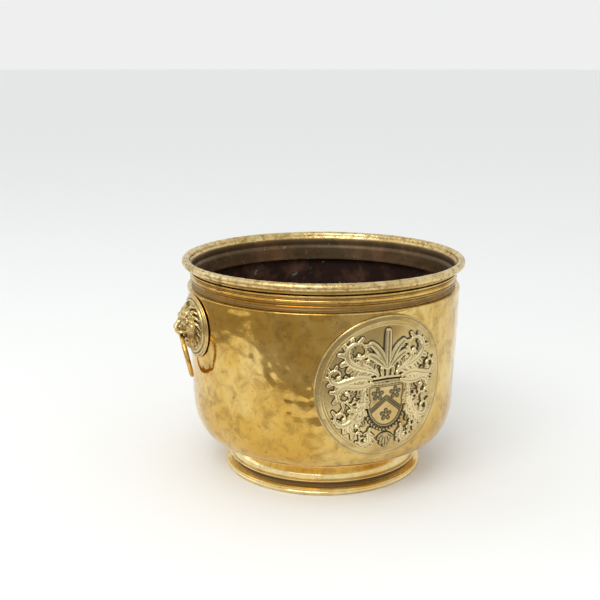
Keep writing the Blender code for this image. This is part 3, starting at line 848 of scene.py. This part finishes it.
def addLocks(locks):
    # tapered curls of hair; each is a list of (x, up, proud, radius) in millimetres
    curve = bpy.data.curves.new("locks", "CURVE")
    curve.dimensions = "3D"
    curve.bevel_depth = mm
    curve.bevel_resolution = 3
    curve.use_fill_caps = True
    for points in locks:
        spline = curve.splines.new("POLY")
        spline.points.add(len(points) - 1)
        for point, (x, up, proud, radius) in zip(spline.points, points):
            point.co = (x * mm, -proud * mm, up * mm, 1)
            point.radius = radius
    hair = bpy.data.objects.new("locks", curve)
    bpy.context.scene.collection.objects.link(hair)
    startClean()
    hair.select_set(True)
    bpy.context.view_layer.objects.active = hair
    bpy.ops.object.convert(target="MESH")
    return bpy.context.object


# the face: balls on its middle line, then pairs, as across, up and proud, their sizes across, proud and
# up, and their turn in degrees
faceMiddle = {"skull": (0, 4, 6, (13.5, 5.5, 14)), "forehead": (0, 12.5, 9.2, (8.5, 5.2, 6.5)),
              "chin": (0, -13.4, 9.6, (5.6, 4.6, 3.2)), "nose": (0, 0.8, 20.0, (3.5, 2.3, 2.3)),
              "underNose": (0, -2.6, 17.5, (2.2, 3.4, 2.6))}
facePairs = {"brow": (4.9, 10.4, 13.0, (4.4, 2.4, 1.9), -24),
             "eye": (5.3, 6.6, 11.4, (2.5, 2.3, 2.0), 0),
             "lid": (5.3, 4.9, 11.2, (3.2, 1.9, 0.9), 14),
             "muzzle": (3.7, -4.4, 14.8, (4.3, 5.0, 3.6), 12),
             "cheek": (9.4, -1.5, 8.4, (4.6, 4.6, 6.4), -12),
             "ear": (11.5, 13.6, 8.4, (3.0, 2.6, 3.4), 28),
             "lip": (3.4, -10.8, 10.0, (3.0, 4.2, 1.7), -8)}
# the bridge of the nose and the right brow, as across, up, proud and radius
noseBridge = [(0, 12.5, 12.6, 2.9), (0, 9.5, 14.4, 2.7), (0, 6, 16.0, 2.4), (0, 3, 18.2, 2.4),
              (0, 1.4, 19.6, 2.6)]
browRidge = [(8.6, 9.5, 11.4, 0.9), (6.2, 11.9, 14.2, 1.2), (2.8, 11.6, 15.4, 1.1)]
# each row of locks: its first angle and the step to the next, where a lock starts and ends, how far it
# sweeps round, its lowest and highest proud, and its radius
mane = {"outer": (10, 19, 11, 22.2, -26, 3.6, 7.0, 2.5), "inner": (4, 17, 9, 16.8, -34, 6.4, 9.6, 2.1),
        "fringe": (8, 20, 7, 12.4, 40, 9.4, 11.6, 1.5)}
locksInRow = {"mane": 9, "fringe": 4, "beard": 3}
# marks pressed in from the front: across, up, half width, half height and depth
faceMarks = {"innerCorner": (2.7, 7.6, 1.3, 1.1, 1.6), "pupil": (5.4, 6.7, 0.6, 0.6, 0.9),
             "nostril": (1.5, -0.1, 0.8, 0.6, 1.8), "lipLine": (0, -4.4, 0.55, 3.0, 2.4),
             "earHollow": (11.8, 14.2, 1.5, 2.0, 2.4), "outerCorner": (8.2, 4.0, 1.4, 1.8, 1.2),
             "whiskerIn": (3.6, -5.0, 0.4, 0.4, 0.7), "whiskerOut": (5.2, -4.0, 0.4, 0.4, 0.7),
             "whiskerLow": (4.8, -6.4, 0.4, 0.4, 0.7), "frown": (2.4, 12.6, 0.6, 2.6, 0.9)}


def curl(row, s, i):
    # one lock of a row, on the side s; it leaves the face, falls towards the plate and sweeps round
    first, step, start, end, sweep, low, high, thick = mane[row]
    points = []
    for t in np.linspace(0, 1, 10):
        a = math.radians(90 - s * (first + step * i) + s * sweep * t ** 1.6)
        r = start + (end - start) * math.sin(math.pi / 2 * t)
        points.append((r * math.cos(a), 1.5 + r * math.sin(a),
                       high + (low - high) * t + 1.0 * math.sin(math.pi * t),
                       thick * (0.6 + 0.4 * math.sin(math.pi * t)) * (1 - 0.7 * t ** 2)))
    return points


def beardLock(s, i):
    # one tuft under the chin, on the side s
    return [(s * (1.5 + 3.0 * i + 0.6 * t), -13 - t * (8.6 - 1.5 * i), 12.0 - 1.2 * i - 0.85 * t * 6,
             1.7 * (1 - 0.12 * t) if t < 1 else 0.7) for t in (0, 0.35, 0.7, 1)]


def makeMaskPattern():
    m = maskShape
    # the plate, from its back to its raised edge, a groove, a fine bead and the dished field
    profile = [(0, m["back"]), (31.2, m["back"]), (31.5, 0.7), (31.5, 1.3), (31.2, 1.6), (30.4, 1.7)]
    profile += arcPoints(28.6, 1.6, 1.5, 10, 170, 9) + [(26.6, 2.3)]
    profile += arcPoints(25.0, 2.9, 1.3, 10, 170, 8)
    profile += [(23.2, 3.4), (20, 4.4), (14, 5.6), (7, 6.2), (0, 6.4)]
    plate = turnOnLathe("mask_plate", profile, 96)
    startClean()
    plate.select_set(True)
    bpy.context.view_layer.objects.active = plate
    plate.data.transform(Matrix.Rotation(math.radians(90), 4, "X"))
    parts = [plate]
    for ball in faceMiddle.values():
        parts.append(addBall(*ball))
    for s in (-1, 1):
        for x, up, proud, sizes, turn in facePairs.values():
            parts.append(addBall(s * x, up, proud, sizes, s * turn))
    locks = [noseBridge]
    for s in (-1, 1):
        for i in range(locksInRow["mane"]):
            locks += [curl("outer", s, i), curl("inner", s, i)]
        locks += [curl("fringe", s, i) for i in range(locksInRow["fringe"])]
        locks += [beardLock(s, i) for i in range(locksInRow["beard"])]
        locks.append([(s * x, up, proud, radius) for x, up, proud, radius in browRidge])
    parts.append(addLocks(locks))
    startClean()
    for part in parts:
        part.select_set(True)
    bpy.context.view_layer.objects.active = plate
    bpy.ops.object.join()
    plate.name = "mask_pattern"
    remesh = plate.modifiers.new("remesh", "REMESH")
    remesh.mode = "VOXEL"
    remesh.voxel_size = m["voxel"] * mm
    bpy.ops.object.modifier_apply(modifier=remesh.name)
    soften = plate.modifiers.new("soften", "SMOOTH")
    soften.factor = 0.5
    soften.iterations = 2
    bpy.ops.object.modifier_apply(modifier=soften.name)
    flat = getPoints(plate)
    proud = -flat[:, 1]
    for x, up, wide, tall, deep in faceMarks.values():
        for s in ((-1, 1) if x else (1,)):
            away = ((flat[:, 0] - s * x) / wide) ** 2 + ((flat[:, 2] - up) / tall) ** 2
            proud = proud - deep * np.exp(-away) * (proud > 5)
    # the hair beside the mouth stays below the sweep of the ring's wire
    r = ringShape
    pivot = frame["joints"][0]["pos_m"]
    pivotUp = pivot[2] / mm - m["height"]
    pivotProud = math.hypot(pivot[0], pivot[1]) / mm - float(wallRadius(pivot[2] / mm))
    across = np.abs(flat[:, 0])
    drop = r["radius"] - np.sqrt(r["radius"] ** 2 - np.minimum(across, 18) ** 2)
    sweep = drop + r["wire"] + r["slack"] + r["spread"] * across
    chord = np.sqrt(np.maximum(sweep ** 2 - (flat[:, 2] - pivotUp) ** 2, 0))
    below = np.minimum(proud, np.maximum(pivotProud - chord, r["hairLow"]))
    beside = np.clip((across - r["hairFrom"]) / r["hairOver"], 0, 1) * (chord > 0)
    proud += (below - proud) * beside
    flat[:, 1] = -proud
    setPoints(plate, flat)
    # the lion's hollows get painted shade with dirt, its crests a painted highlight with wear
    markHollows(plate, *m["hollows"])
    print(f"mask pattern: {len(plate.data.polygons)} faces")
    return plate


def boreMouth(mask, side):
    # cuts the path that the ring's wire sweeps through the mouth
    r = ringShape
    outline = []
    for y in np.linspace(-r["boreHalf"], r["boreHalf"], 15):
        drop = r["radius"] - math.sqrt(r["radius"] ** 2 - y * y)
        outline.append((drop + r["wire"] + r["slack"], y))
    bore = turnOnLathe("bore", [(0.0, -r["boreHalf"])] + outline + [(0.0, r["boreHalf"])], 36)
    bore.data.transform(ringPlace(side) @ Matrix.Rotation(math.radians(-90), 4, "X"))
    cut = mask.modifiers.new("bore", "BOOLEAN")
    cut.operation = "DIFFERENCE"
    cut.solver = "EXACT"
    cut.object = bore
    startClean()
    bpy.context.view_layer.objects.active = mask
    bpy.ops.object.modifier_apply(modifier=cut.name)
    bpy.data.objects.remove(bore)


def makeMasks(brass):
    pattern = makeMaskPattern()
    for side, sign in sides.items():
        startClean()
        mask = pattern.copy()
        mask.data = pattern.data.copy()
        bpy.context.scene.collection.objects.link(mask)
        flat = getPoints(mask)
        facing = 0 if sign > 0 else 180
        setPoints(mask, onWall(flat[:, 0], flat[:, 2], -flat[:, 1], facing, maskShape["height"]))
        boreMouth(mask, side)
        settle(mask, f"{side}_lion_casting", 50)
        finishPiece(mask, "pot", "cast_brass", brass, f"lion_mask_{side}")
    bpy.data.objects.remove(pattern)


def makeRings(brass):
    r = ringShape
    for side in sides:
        startClean()
        bpy.ops.mesh.primitive_torus_add(major_radius=r["radius"] * mm, minor_radius=r["wire"] * mm,
                                         major_segments=144, minor_segments=32, location=(0, 0, 0))
        ring = bpy.context.object
        hang = Matrix.Translation((0, 0, -r["radius"] * mm))
        lean = Matrix.Rotation(math.radians(r["lean"]), 4, "Y")
        # the torus is stood up, hung from its hinge and leaned
        upright = Matrix.Rotation(math.radians(90), 4, "Y")
        ring.data.transform(ringPlace(side) @ lean @ hang @ upright)
        beatMetal(ring, "CLOUDS", *r["wave"], None, noise_depth=1)
        settle(ring, f"{side}_hanging_ring", 60)
        finishPiece(ring, f"{side}_ring", "ring_brass", brass, f"ring_{side}")


def dressFixings(iron, steel, brass):
    # the rim's wire, the studs, the washers and the nuts keep their own shapes
    for name, piece in frame["nodes"].items():
        if name == "rim_wire":
            finish = iron
        elif "nut" in name or "washer" in name:
            finish = steel
        elif "stud" in name:
            finish = brass
        else:
            continue
        piece.data.materials.clear()
        piece.data.materials.append(finish)
    print("rim wire, studs, washers and nuts finished")


makeCamera()
makeStudio()
spunBrass = makeBrass("old_spun_brass")
makeBowl(spunBrass)
makeCollar(spunBrass, makeBrass("pitted_rim_brass"))
makeFoot(makeBrass("turned_foot_brass"))
makeMedallion(makeBrass("stamped_brass"))
castBrass = makeBrass("cast_brass")
makeMasks(castBrass)
makeRings(makeBrass("worn_ring_brass"))
dressFixings(makeFixingMetal("dull_iron_wire"), makeFixingMetal("dull_zinc_plate"), castBrass)
